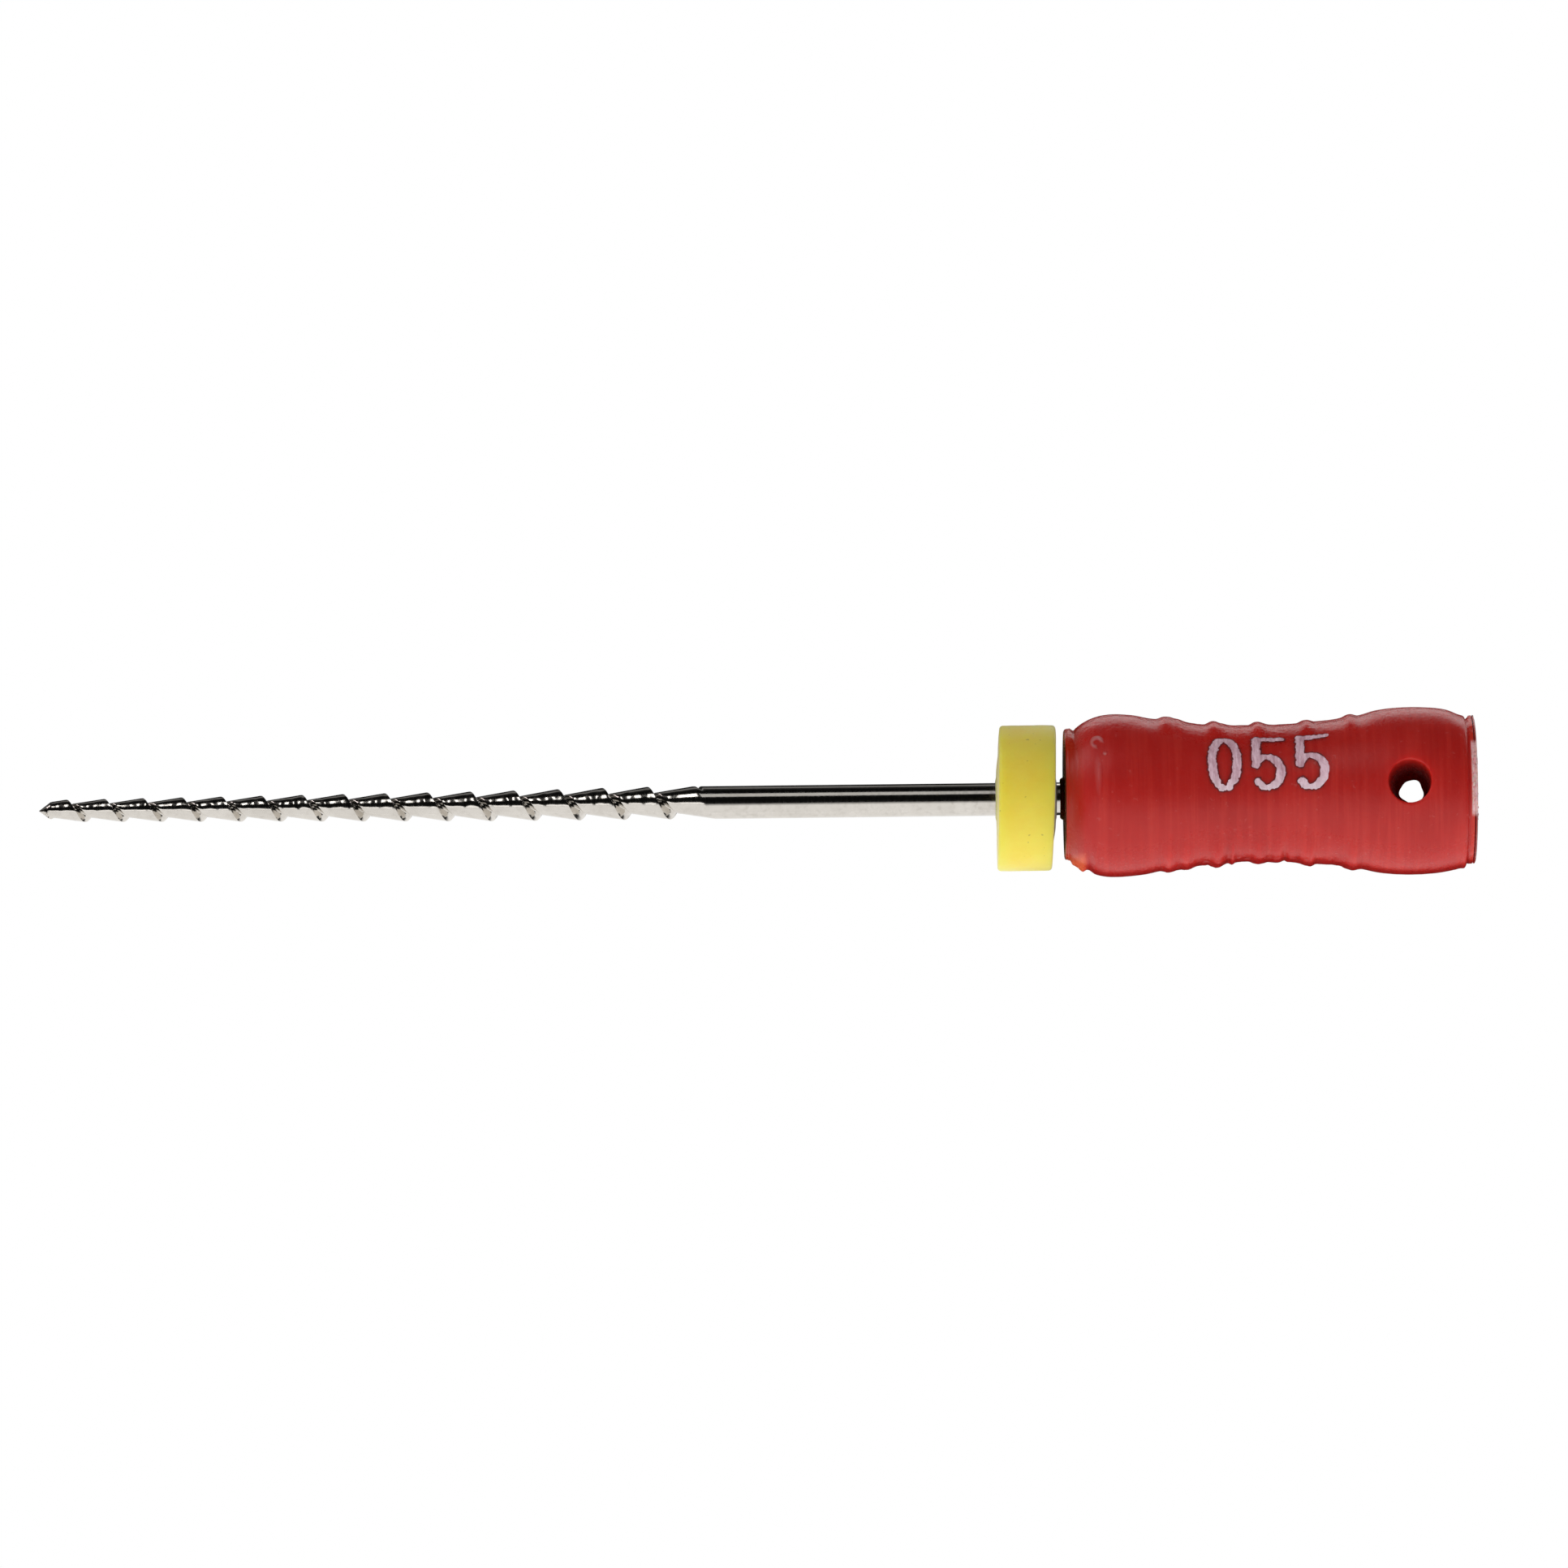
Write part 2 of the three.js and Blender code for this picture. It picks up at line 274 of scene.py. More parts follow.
def shank_grid(start, angle):
    """Stations and radii of the plain shank and of the tang with its two flats."""
    end = WIRE_LENGTH + TANG_LENGTH
    notch = WIRE_LENGTH + np.array([NOTCH_FROM, NOTCH_TO])
    edges = [notch[0], notch[0] + 0.01, notch[1] - 0.01, notch[1], end - TANG_CHAMFER, end]
    stations = np.array(sorted([*np.linspace(start, end - 0.3, 60), *edges]))[:, None]
    radii = np.broadcast_to(blank_radius(stations), (len(stations), len(angle))).copy()
    flat = NOTCH_HALF_THICKNESS / np.maximum(np.abs(np.sin(angle)), 1e-3)
    inside = (stations > notch[0] + 0.005) & (stations < notch[1] - 0.005)
    return stations, np.where(inside, np.minimum(radii, flat), radii)


# Handle

HANDLE_COLUMNS = 216
HANDLE_SHARP = 50  # degrees from which an edge is drawn sharp
REAR_GROOVE_AT, REAR_GROOVE_DEPTH, REAR_GROOVE_WIDTH = 9.945, 0.03, 0.012
REAR_LIP_FROM = 9.84  # the thin lip round the rear edge, torn where the gate was
FRONT_GROOVE_AT, FRONT_GROOVE_DEPTH, FRONT_GROOVE_WIDTH = 0.06, 0.02, 0.015
FRONT_NOTCH_DEPTH = 0.04
GATE_HALF_LENGTH, GATE_HALF_WIDTH, GATE_HEIGHT = 0.9, 0.42, 0.06
FILLET_STEPS = (-0.12, -0.08, -0.04, 0.0, 0.04, 0.08, 0.12)
RIM_RAISED = 0.045  # how much further the front rim sits towards +Y
# Places where a side stands proud or is worn: which side in Y, u, half width and height
UNEVEN = (
    (1, 2.1, 0.3, -0.035), (1, 2.75, 0.2, 0.06), (1, 3.8, 0.16, 0.055), (1, 4.87, 0.12, 0.04),
    (1, 6.6, 0.4, -0.035), (1, 7.22, 0.28, -0.05), (1, 9.62, 0.2, -0.055),
    (-1, 0.6, 0.09, -0.05), (-1, 2.3, 0.2, -0.02), (-1, 2.97, 0.2, 0.075), (-1, 3.7, 0.3, 0.035),
    (-1, 4.08, 0.06, 0.05), (-1, 5.12, 0.12, 0.03), (-1, 5.34, 0.06, -0.04), (-1, 6.0, 0.08, 0.04),
    (-1, 6.55, 0.3, -0.04), (-1, 7.2, 0.3, -0.035), (-1, 9.75, 0.08, 0.05),
)
OFF_CENTRE, OFF_CENTRE_GROWTH = 0.05, 0.0055  # the moulding sits a little towards +Y of the wire


def shoulder(u, rim_radius, rim_at, bulge_at, bulge_radius, power):
    share = (u - bulge_at) / (rim_at - bulge_at)
    return rim_radius + (bulge_radius - rim_radius) * np.maximum(0, 1 - share * share) ** power


def flank(u, bulge_at, bulge_radius):
    fall = (1 + np.cos(math.pi * (u - bulge_at) / (WAIST_AT - bulge_at))) / 2
    return WAIST_RADIUS + (bulge_radius - WAIST_RADIUS) * fall ** WAIST_SHARPNESS


def handle_radius(u):
    """The moulded outline without its ridges. The foot of the front shoulder is a soft fillet."""
    soft = sum(plain_radius(np.maximum(u + step, 0)) for step in FILLET_STEPS) / len(FILLET_STEPS)
    return np.where(u < 0.6, soft, plain_radius(u))


def plain_radius(u):
    front = shoulder(u, FRONT_RIM_RADIUS, FRONT_RIM_END, FRONT_BULGE_AT, FRONT_BULGE_RADIUS, 0.8)
    rear = shoulder(u, REAR_RIM_RADIUS, REAR_RIM_START, REAR_BULGE_AT, REAR_BULGE_RADIUS, 0.5)
    middle = np.where(
        u < WAIST_AT,
        flank(u, FRONT_BULGE_AT, FRONT_BULGE_RADIUS),
        flank(u, REAR_BULGE_AT, REAR_BULGE_RADIUS),
    )
    radius = np.where(u < FRONT_BULGE_AT, front, np.where(u > REAR_BULGE_AT, rear, middle))
    return np.where(u < FRONT_RIM_END, FRONT_RIM_RADIUS, radius)


def grip_ridges(u, angle):
    """Soft, uneven ridges that stand on the handle's two sides only."""
    rng = np.random.default_rng(11)
    side_share = np.abs(np.cos(angle))
    height = np.zeros(np.broadcast_shapes(u.shape, angle.shape))
    for side in (1, -1):
        here = np.where(side * np.cos(angle) > 0, smoothstep(side_share, 0.66, 0.93), 0)
        for ridge in RIDGES:
            at = ridge + rng.uniform(-0.06, 0.06)
            width = RIDGE_HALF_WIDTH * rng.uniform(0.8, 1.15)
            tall = RIDGE_HEIGHT * rng.uniform(0.85, 1.25)
            share = np.clip(np.abs(u - at) / width, 0, 1)
            height = height + here * tall * np.cos(math.pi / 2 * share) ** 1.5
    for side, at, width, tall in UNEVEN:
        here = np.where(side * np.cos(angle) > 0, smoothstep(side_share, 0.7, 0.95), 0)
        height = height + here * tall * near(u, at, width)
    return height


def skin_relief(u, angle):
    """Everything that the mould left on the handle's skin, as a height in mm."""
    around = angle / TURN
    body = smoothstep(u, 0.5, 1.3) * (1 - smoothstep(u, 9.3, 9.7))
    side = smoothstep(np.abs(np.cos(angle)), 0.9, 0.99)
    lower_side = np.where(np.cos(angle) < 0, side, 0)
    ragged = 0.011 * wobble(u, around, 0.13, 60, 3) + 0.007 * wobble(u, around, 0.06, 90, 4)
    turned = 0.0006 * wobble(u, around, 0.05, 3, 5) + 0.0016 * wobble(u, around, 0.16, 4, 6)
    soft = 0.008 * wobble(u, around, 1.1, 7, 7)
    grip = smoothstep(u, 2.2, 2.6) * (1 - smoothstep(u, 7.0, 7.4))
    relief = grip_ridges(u, angle) + body * (turned + soft)
    relief = relief + (0.35 * side + 0.65 * lower_side) * grip * ragged
    return relief + front_details(u, angle) + rear_details(u, angle)


def near(value, at, width):
    return np.exp(-(((value - at) / width) ** 2))


def front_details(u, angle):
    """A fine groove behind the front edge, a notch on the +Y side, and curls of flash on both sides."""
    around = angle / TURN
    relief = -FRONT_GROOVE_DEPTH * near(u, FRONT_GROOVE_AT, FRONT_GROOVE_WIDTH)
    relief = relief - FRONT_NOTCH_DEPTH * near(np.cos(angle), 1, 0.25) * near(u, FRONT_RIM_END, 0.04)
    lower = near(angle, math.radians(186), math.radians(8))
    along = smoothstep(u, 0.12, 0.2) * (1 - smoothstep(u, 0.46, 0.52))
    relief = relief + lower * along * (0.06 + 0.03 * wobble(u, around, 0.07, 90, 8))
    upper = near(angle, math.radians(14), math.radians(9))
    along = smoothstep(u, 0.02, 0.06) * (1 - smoothstep(u, 0.14, 0.2))
    relief = relief + upper * along * (0.02 + 0.015 * wobble(u, around, 0.05, 110, 12))
    return relief


def rear_details(u, angle):
    """A step before the rear rim, a thin line cut round it, and the chips, spur and torn plastic on it."""
    around = angle / TURN
    side = smoothstep(np.abs(np.cos(angle)), 0.8, 0.97)
    step = -0.03 * side * near(u, 9.8, 0.03)
    relief = step - REAR_GROOVE_DEPTH * near(u, REAR_GROOVE_AT, REAR_GROOVE_WIDTH)
    rim = smoothstep(u, REAR_LIP_FROM, REAR_LIP_FROM + 0.03)
    torn = torn_share(angle) * (0.03 + 0.03 * wobble(u, around, 0.035, 90, 10))
    chips = 0.008 * wobble(u, around, 0.09, 70, 9)
    return relief + rim * (chips + torn + 0.04 * near(angle, math.radians(10), math.radians(5)))


def torn_share(angle):
    """1 on the upper part of the rear rim, where the sprue tore off, and 0 elsewhere."""
    return smoothstep(angle, math.radians(52), math.radians(58)) * (1 - smoothstep(
        angle, math.radians(108), math.radians(114)
    ))


def handle_rows():
    """The closed outline as (u, radius, share of the relief), from the bore's end to the rear centre."""
    foot, chamfer = BOSS_FOOT_RADIUS + 0.02, 0.05
    inner = [(TANG_LENGTH + 0.02, r) for r in (0.0, 0.2, BORE_RADIUS)]
    inner += [(u, BORE_RADIUS) for u in np.linspace(TANG_LENGTH - 0.3, 0, 24)]
    boss = [
        (-BOSS_HEIGHT, BORE_RADIUS),
        (-BOSS_HEIGHT, BOSS_RADIUS - 0.03),
        (-BOSS_HEIGHT + 0.03, BOSS_RADIUS),
        (-0.03, BOSS_RADIUS + 0.02),
        (0.0, foot),
    ]
    rim = FRONT_RIM_RADIUS - chamfer
    face = [(0.0, foot + share * (rim - foot)) for share in (0.3, 0.65, 1)]
    rows = [(u, r, 0.0) for u, r in inner + boss + face]
    rows.append((0.018, FRONT_RIM_RADIUS - 0.018, 0.5))
    skin = sorted(
        [*np.linspace(chamfer, HANDLE_LENGTH - 0.03, 250)]
        + [*np.linspace(0.055, 0.32, 22), *np.linspace(9.72, 9.965, 30)]
    )
    rows += [(u, float(handle_radius(np.float64(u))), 1.0) for u in skin]
    rows.append((HANDLE_LENGTH - 0.008, REAR_RIM_RADIUS - 0.008, 0.8))
    rear = REAR_RIM_RADIUS - 0.03
    rows += [(HANDLE_LENGTH, rear * share, 0.0) for share in np.linspace(1, 0, 40)]
    return rows


def gate_scar(y, z):
    """The rough stub left on the rear face where the sprue was twisted off, as a height in mm."""
    across = smoothstep(GATE_HALF_WIDTH - np.abs(z + 0.05 * np.sin(5 * y)), 0, 0.12)
    along = smoothstep(GATE_HALF_LENGTH - np.abs(y - 0.1), 0, 0.15)
    rough = wobble(y, (z + 2) / 4, 0.09, 40, 21)
    fine = wobble(y, (z + 2) / 4, 0.04, 90, 22)
    return across * along * (GATE_HEIGHT + 0.028 * rough + 0.018 * fine)


def off_centre(u):
    return OFF_CENTRE + OFF_CENTRE_GROWTH * u


def moulded_handle(material):
    rows = np.array(handle_rows())
    u, r, share = rows[:, :1], rows[:, 1:2], rows[:, 2:]
    angle = np.arange(HANDLE_COLUMNS)[None, :] / HANDLE_COLUMNS * TURN
    radius = r + share * skin_relief(u, angle)
    points = round_points(HANDLE_X + u, radius, angle)
    outer = smoothstep(r, BOSS_RADIUS, FRONT_RIM_RADIUS)
    points[..., 1] += (off_centre(u) + RIM_RAISED * smoothstep(u, 0.3, 0.1)) * outer
    rear = (u[:, 0] >= HANDLE_LENGTH) & (r[:, 0] < REAR_RIM_RADIUS - 0.05)
    points[rear, :, 0] += gate_scar(points[rear, :, 1], points[rear, :, 2])
    points[-1] = points[-1].mean(0)
    points[..., 2] = np.maximum(points[..., 2], -AXIS_Z)
    faces = ring_faces(len(rows), HANDLE_COLUMNS)
    shown = make_object("moulded_handle", points.reshape(-1, 3), faces, HANDLE_SHARP, material)
    drill(shown, hole_cutter())
    finish_mesh(shown, HANDLE_SHARP, material)
    to_frame(shown)
    return shown


def hole_cutter():
    """The air of the cross hole: it narrows to the axis, and its rims roll over into the handle's skin."""
    roll, columns = HOLE_ROLL, 72
    angle = np.arange(columns) / columns * TURN
    heights = [0, 0.06, 0.15, 0.5, 1.0, 1.4, 1.7, REAR_BULGE_RADIUS - roll]
    slope = (HOLE_MOUTH - roll / 2 - HOLE_WAIST) / REAR_BULGE_RADIUS
    upper = [(h, HOLE_WAIST + slope * h) for h in heights]
    start = upper[-1][1]
    for step in range(1, 6):
        bend = step / 5 * math.radians(68)
        upper.append((REAR_BULGE_RADIUS - roll + roll * math.sin(bend), start + roll * (1 - math.cos(bend))))
    h, r = upper[-1]
    upper.append((h + 0.05, r + 0.12))
    upper.append((h + 0.5, r + 0.12))
    outline = [(-h, r) for h, r in reversed(upper[1:])] + upper
    ragged = 1 + 0.3 * np.sin(angle) + 0.2 * np.sin(3 * angle + 1) + 0.12 * np.sin(5 * angle)
    points = []
    for h, r in outline:
        r = r - HOLE_FLASH * ragged * near(h, 0, 0.08)
        x, y = r * np.cos(angle), r * np.sin(angle)
        drop = REAR_BULGE_RADIUS - np.sqrt(REAR_BULGE_RADIUS ** 2 - y * y)
        warp = smoothstep(abs(h), 1.2, REAR_BULGE_RADIUS - roll)
        z = np.sign(h) * (abs(h) - warp * drop)
        x = x - HOLE_LEAN * z
        points.append(np.stack([HANDLE_X + HOLE_AT + x, y + off_centre(HOLE_AT), z], -1))
    faces = ring_faces(len(outline), columns)
    last = (len(outline) - 1) * columns
    faces.append(tuple(range(columns)))
    faces.append(tuple(last + j for j in range(columns)))
    return make_object("hole_air", np.concatenate(points), faces, 30, bpy.data.materials.new("air"))


def drill(shown, cutter):
    """Cuts the cutter out of the mesh and removes it."""
    cut = shown.modifiers.new("cut", "BOOLEAN")
    cut.operation, cut.solver, cut.object = "DIFFERENCE", "EXACT", cutter
    bpy.context.view_layer.update()
    graph = bpy.context.evaluated_depsgraph_get()
    drilled = bpy.data.meshes.new_from_object(shown.evaluated_get(graph))
    shown.modifiers.clear()
    shown.data = drilled
    bpy.data.objects.remove(cutter)


# Stop

STOP_COLUMNS = 144


def stop_rows():
    """The closed outline, from the bore's front edge over the rim and back through the bore."""
    half = STOP_THICKNESS / 2
    end = half + LIP_HEIGHT
    side = []
    for turn in np.linspace(0, math.pi / 2, 8):
        x = half - STOP_CORNER + STOP_CORNER * math.cos(turn)
        side.append((x, STOP_RADIUS - STOP_CORNER + STOP_CORNER * math.sin(turn)))
    lip = [
        (end - 0.02, BORE_RADIUS),
        (end, BORE_RADIUS + 0.02),
        (end, BORE_RADIUS + 0.5 * LIP_WIDTH),
        (end - 0.5 * LIP_HEIGHT, BORE_RADIUS + LIP_WIDTH),
        (half, BORE_RADIUS + 1.5 * LIP_WIDTH),
    ]
    face = [(half, r) for r in np.linspace(BORE_RADIUS + 0.25, STOP_RADIUS - STOP_CORNER - 0.05, 14)]
    rear = lip + face + side
    front = [(-x, r) for x, r in rear]
    rim = [(x, STOP_RADIUS) for x in np.linspace(half - STOP_CORNER, STOP_CORNER - half, 13)[1:-1]]
    bore = [(x, BORE_RADIUS) for x in np.linspace(end - 0.02, 0.02 - end, 16)[1:-1]]
    return front + [(x, r) for x, r in reversed(rim)] + rear[::-1] + bore


def silicone_stop(material):
    rows = np.array(stop_rows())
    x, r = rows[:, :1], rows[:, 1:]
    angle = np.arange(STOP_COLUMNS)[None, :] / STOP_COLUMNS * TURN
    around = angle / TURN
    outer = smoothstep(r, 0.6, 1.2)
    side = np.sign(x) * smoothstep(np.abs(x), 0.3, 0.65)
    face = outer * side * STOP_FACE_UNEVEN * wobble(r, around, 0.5, 9, 31)
    bow = STOP_FACE_BOW * side * smoothstep(r, 1.75, 0.9)
    soft, fine = wobble(x, around, 0.35, 16, 32), wobble(x, around, 0.12, 50, 33)
    rim = outer * (0.008 * soft + 0.003 * fine)
    points = round_points(STOP_X + x + face + bow - STOP_FACE_INSET * outer * side, r + rim, angle)
    points[..., 0] += outer * points[..., 1] * (STOP_TILT + STOP_WEDGE * side)
    points[..., 1] += outer * STOP_RAISED
    faces = ring_faces(len(rows) + 1, STOP_COLUMNS)
    total = len(rows) * STOP_COLUMNS
    faces = [tuple(corner % total for corner in quad) for quad in faces]
    shown = make_object("silicone_disc", points.reshape(-1, 3), faces, 45, material)
    to_frame(shown)
    return shown


# Stamped size number, 055: strokes are thick upright and thin across, as a worn brass stamp leaves them

DIGIT_HEIGHT, DIGIT_WIDTH, DIGIT_STEP = 1.46, 0.82, 1.06
THICK, THIN = 0.105, 0.062
NUMBER_AT = 4.93
NUMBER_TURN = math.radians(90 - 20.5)
FOIL_HEIGHT, PRESS_HEIGHT = 0.008, 0.004
NUMBER_GRID = 0.02


def pen(points):
    """Points on a stroke, each with the pen's half width there: thick where it runs up or down."""
    points = np.array(points)
    way = np.gradient(points, axis=0)
    upright = np.abs(way[:, 1]) / np.maximum(np.hypot(way[:, 0], way[:, 1]), 1e-9)
    return [(x, y, THIN + (THICK - THIN) * up) for (x, y), up in zip(points, upright)]


def line(a, b, steps=24):
    return [(a[0] + (b[0] - a[0]) * t, a[1] + (b[1] - a[1]) * t) for t in np.linspace(0, 1, steps)]


def arc(centre, size, start, end, steps=60):
    turns = np.radians(np.linspace(start, end, steps))
    return [(centre[0] + size[0] * math.cos(t), centre[1] + size[1] * math.sin(t)) for t in turns]


def digit_zero(left):
    centre = (left + DIGIT_WIDTH / 2, DIGIT_HEIGHT / 2)
    return pen(arc(centre, (DIGIT_WIDTH / 2 - THICK, DIGIT_HEIGHT / 2 - THIN), 0, 360, 110))


def digit_five(left):
    top, stem = DIGIT_HEIGHT - THIN, left + THICK + 0.03
    shelf = 0.56 * DIGIT_HEIGHT
    bowl = (left + 0.36, 0.31 * DIGIT_HEIGHT)
    size = (DIGIT_WIDTH - 0.36 - THICK, 0.31 * DIGIT_HEIGHT - THIN)
    strokes = pen(line((stem, top), (left + DIGIT_WIDTH - 0.06, top)))
    strokes += pen(line((stem, top), (stem - 0.02, shelf)))
    strokes += pen(arc(bowl, (0.8 * size[0], size[1]), 150, 90, 20))
    strokes += pen(arc(bowl, size, 90, -90))
    return strokes + pen(arc(bowl, (0.75 * size[0], size[1]), -90, -140, 20))


def number_field(a, b):
    """Below 0 inside a stroke. The edges are rough, and the lower ends are torn."""
    left = -1.5 * DIGIT_STEP + (DIGIT_STEP - DIGIT_WIDTH) / 2
    ink = digit_zero(left) + digit_five(left + DIGIT_STEP) + digit_five(left + 2 * DIGIT_STEP)
    field = np.full(a.shape, 9.0)
    for x, y, half in ink:
        field = np.minimum(field, np.hypot(a - x, b - y) - half)
    around = (b + 0.3) / (DIGIT_HEIGHT + 0.6)
    edge = 0.02 * wobble(a, around, 0.07, 30, 41) + 0.012 * wobble(a, around, 0.035, 60, 42)
    torn = smoothstep(b, 0.45, 0.0) * 0.045 * np.maximum(wobble(a, around, 0.045, 9, 43), 0)
    return field + edge + torn


def contour_cells(field, level):
    """Marching squares: the polygons of the region below level, as grid points and edge crossings."""
    inside = field < level
    polygons = []
    for i in range(field.shape[0] - 1):
        for j in range(field.shape[1] - 1):
            corners = ((i, j), (i + 1, j), (i + 1, j + 1), (i, j + 1))
            if not any(inside[c] for c in corners):
                continue
            polygon = []
            for here, there in zip(corners, corners[1:] + corners[:1]):
                if inside[here]:
                    polygon.append((here, here))
                if inside[here] != inside[there]:
                    polygon.append(tuple(sorted((here, there))))
            polygons.append(polygon)
    return polygons


def number_film(name, level, height, roughness, material):
    """A thin closed film in the shape of the number, which follows the handle's skin."""
    half_width = 1.5 * DIGIT_STEP + 0.15
    a, b = np.meshgrid(
        np.arange(-half_width, half_width, NUMBER_GRID),
        np.arange(-0.15, DIGIT_HEIGHT + 0.15, NUMBER_GRID),
        indexing="ij",
    )
    field = number_field(a, b)
    polygons = contour_cells(field, level)
    keys = sorted({key for polygon in polygons for key in polygon})
    index = {key: i for i, key in enumerate(keys)}
    plan = []
    for here, there in keys:
        share = 0.0
        if here != there:
            share = float(np.clip((level - field[here]) / (field[there] - field[here]), 0.02, 0.98))
        plan.append((a[here] + share * (a[there] - a[here]), b[here] + share * (b[there] - b[here])))
    plan = np.array(plan)
    u = NUMBER_AT + plan[:, 0]
    angle = NUMBER_TURN - (plan[:, 1] - DIGIT_HEIGHT / 2) / WAIST_RADIUS
    skin = handle_radius(u) + skin_relief(u[:, None], angle[:, None])[:, 0]
    rough = roughness * wobble(plan[:, 0] + plan[:, 1], plan[:, 1] / 2, 0.05, 40, 44)
    top = round_points(HANDLE_X + u, skin + height + rough, angle)
    bottom = round_points(HANDLE_X + u, skin - 0.03, angle)
    top[:, 1] += off_centre(u)
    bottom[:, 1] += off_centre(u)
    faces = [tuple(index[key] for key in polygon) for polygon in polygons]
    edges = {}
    for face in faces:
        for here, there in zip(face, face[1:] + face[:1]):
            edges[here, there] = edges.get((here, there), 0) + 1
    walls = [(h, t) for h, t in edges if (t, h) not in edges]
    count = len(plan)
    closed = faces + [tuple(count + i for i in reversed(face)) for face in faces]
    closed += [(t, h, count + h, count + t) for h, t in walls]
    shown = make_object(name, np.concatenate([top, bottom]), closed, 40, material)
    to_frame(shown)
    return shown


# Materials

METAL_DEEP, METAL_BRIGHT = (0.63, 0.595, 0.545), (0.7, 0.665, 0.615)
# The last colour on the next line is a painted highlight, laid on the cutting faces that point towards +X.
METAL_SMEARED, METAL_FACE_HIGHLIGHT = (0.5, 0.465, 0.42), (0.8, 0.765, 0.715)
RED_DEEP, RED_BRIGHT = (0.5, 0.013, 0.01), (0.57, 0.018, 0.014)
RED_STREAKED, RED_SPECKLED = (0.66, 0.04, 0.028), (0.72, 0.22, 0.2)
# The colours on the next line are painted light: an orange-red tone for light shining through the thin front
# end, its flash and the rear lip.
RED_FRONT_END_GLOW, RED_FLASH_GLOW, RED_REAR_LIP_GLOW = (0.45, 0.026, 0.006), (0.85, 0.16, 0.06), (0.62, 0.035, 0.018)
# The colours on the next line are painted shade: for the rear groove, for a band along the handle's lower -Y
# edge, and for the front face.
RED_GROOVE_SHADE, RED_LOWER_SHADE, RED_FRONT_FACE_SHADE = (0.1, 0.004, 0.006), (0.3, 0.004, 0.003), (0.05, 0.002, 0.002)
# The last colour on the next line is a pale pink laid on the mould's ring, dot and streak as a painted
# highlight.
RED_PALE_EDGE, RED_TORN, RED_MARK_HIGHLIGHT = (0.3, 0.16, 0.16), (0.85, 0.55, 0.55), (0.85, 0.5, 0.5)
# The two colours on the next line are painted shade, for the dark film round the number in the stamp's
# pressed recess.
RED_PRESS_SHADE_DEEP, RED_PRESS_SHADE_BRIGHT = (0.12, 0.006, 0.01), (0.24, 0.012, 0.016)
YELLOW_DEEP, YELLOW_BRIGHT, YELLOW_SPECKLED = (0.97, 0.71, 0.075), (0.985, 0.76, 0.1), (0.3, 0.2, 0.04)
FOIL_DEEP, FOIL_BRIGHT = (0.6, 0.33, 0.4), (0.95, 0.66, 0.76)
# The first colour on the next line is painted light: the foil is paler towards -Y, the side that the softbox
# lights.
FOIL_LIT_SIDE, FOIL_CRUMBLED = (0.97, 0.85, 0.9), (0.6, 0.16, 0.2)


class Nodes:
    """Short ways to add the nodes of one material."""

    def __init__(self, name):
        self.material = bpy.data.materials.new(name)
        self.material.use_nodes = True
        self.tree = self.material.node_tree
        self.shader = self.tree.nodes["Principled BSDF"]
        coordinates = self.tree.nodes.new("ShaderNodeTexCoord").outputs
        self.place, self.facing = coordinates["Object"], coordinates["Normal"]

    def add(self, kind, links=(), **settings):
        made = self.tree.nodes.new(kind)
        for key, value in settings.items():
            setattr(made, key, value)
        for socket, value in dict(links).items():
            if isinstance(value, bpy.types.NodeSocket):
                self.tree.links.new(value, made.inputs[socket])
            else:
                made.inputs[socket].default_value = value
        return made

    def noise(self, per_mm, detail=3.0, roughness=0.5, stretch=(1, 1, 1)):
        """Noise with about per_mm blotches in a millimetre."""
        scale = [per_mm / MM * axis for axis in stretch]
        place = self.add("ShaderNodeVectorMath", {0: self.place, 1: scale}, operation="MULTIPLY").outputs[0]
        links = {"Vector": place, "Scale": 1.0, "Detail": detail, "Roughness": roughness}
        return self.add("ShaderNodeTexNoise", links).outputs["Fac"]

    def spread(self, value, low, high, to_low=0.0, to_high=1.0):
        links = {"Value": value, "From Min": low, "From Max": high, "To Min": to_low, "To Max": to_high}
        return self.add("ShaderNodeMapRange", links).outputs["Result"]

    def math(self, operation, a, b=0.0):
        return self.add("ShaderNodeMath", {0: a, 1: b}, operation=operation).outputs[0]

    def product(self, *values):
        result = values[0]
        for value in values[1:]:
            result = self.math("MULTIPLY", result, value)
        return result

    def hypot(self, a, b):
        squares = self.math("ADD", self.math("MULTIPLY", a, a), self.math("MULTIPLY", b, b))
        return self.math("SQRT", squares)

    def gap(self, value, middle):
        return self.math("ABSOLUTE", self.math("SUBTRACT", value, middle))

    def mix(self, share, a, b):
        made = self.add("ShaderNodeMix", data_type="RGBA")
        for socket, value in ((0, share), (6, a), (7, b)):
            if isinstance(value, bpy.types.NodeSocket):
                self.tree.links.new(value, made.inputs[socket])
            else:
                made.inputs[socket].default_value = (*value, 1) if isinstance(value, tuple) else value
        return made.outputs[2]

    def position(self):
        """X, Y and Z in millimetres, with Z from the wire's axis."""
        apart = self.add("ShaderNodeSeparateXYZ", {0: self.place}).outputs
        x, y = (self.math("MULTIPLY", apart[i], 1 / MM) for i in (0, 1))
        z = self.math("SUBTRACT", self.math("MULTIPLY", apart[2], 1 / MM), AXIS_Z)
        return x, y, z

    def bump(self, height, depth_mm, normal=None):
        links = {"Height": height, "Distance": depth_mm * MM, "Strength": 1.0}
        if normal is not None:
            links["Normal"] = normal
        return self.add("ShaderNodeBump", links).outputs["Normal"]

    def set(self, **values):
        for key, value in values.items():
            socket = self.shader.inputs[key.replace("_", " ")]
            if isinstance(value, bpy.types.NodeSocket):
                self.tree.links.new(value, socket)
            else:
                socket.default_value = value


CHATTER_END = 15.2  # from the tip
CHATTER_PITCH, CHATTER_DEPTH = 0.4, 0.011  # of the waves that the wheel left on the flute's cones


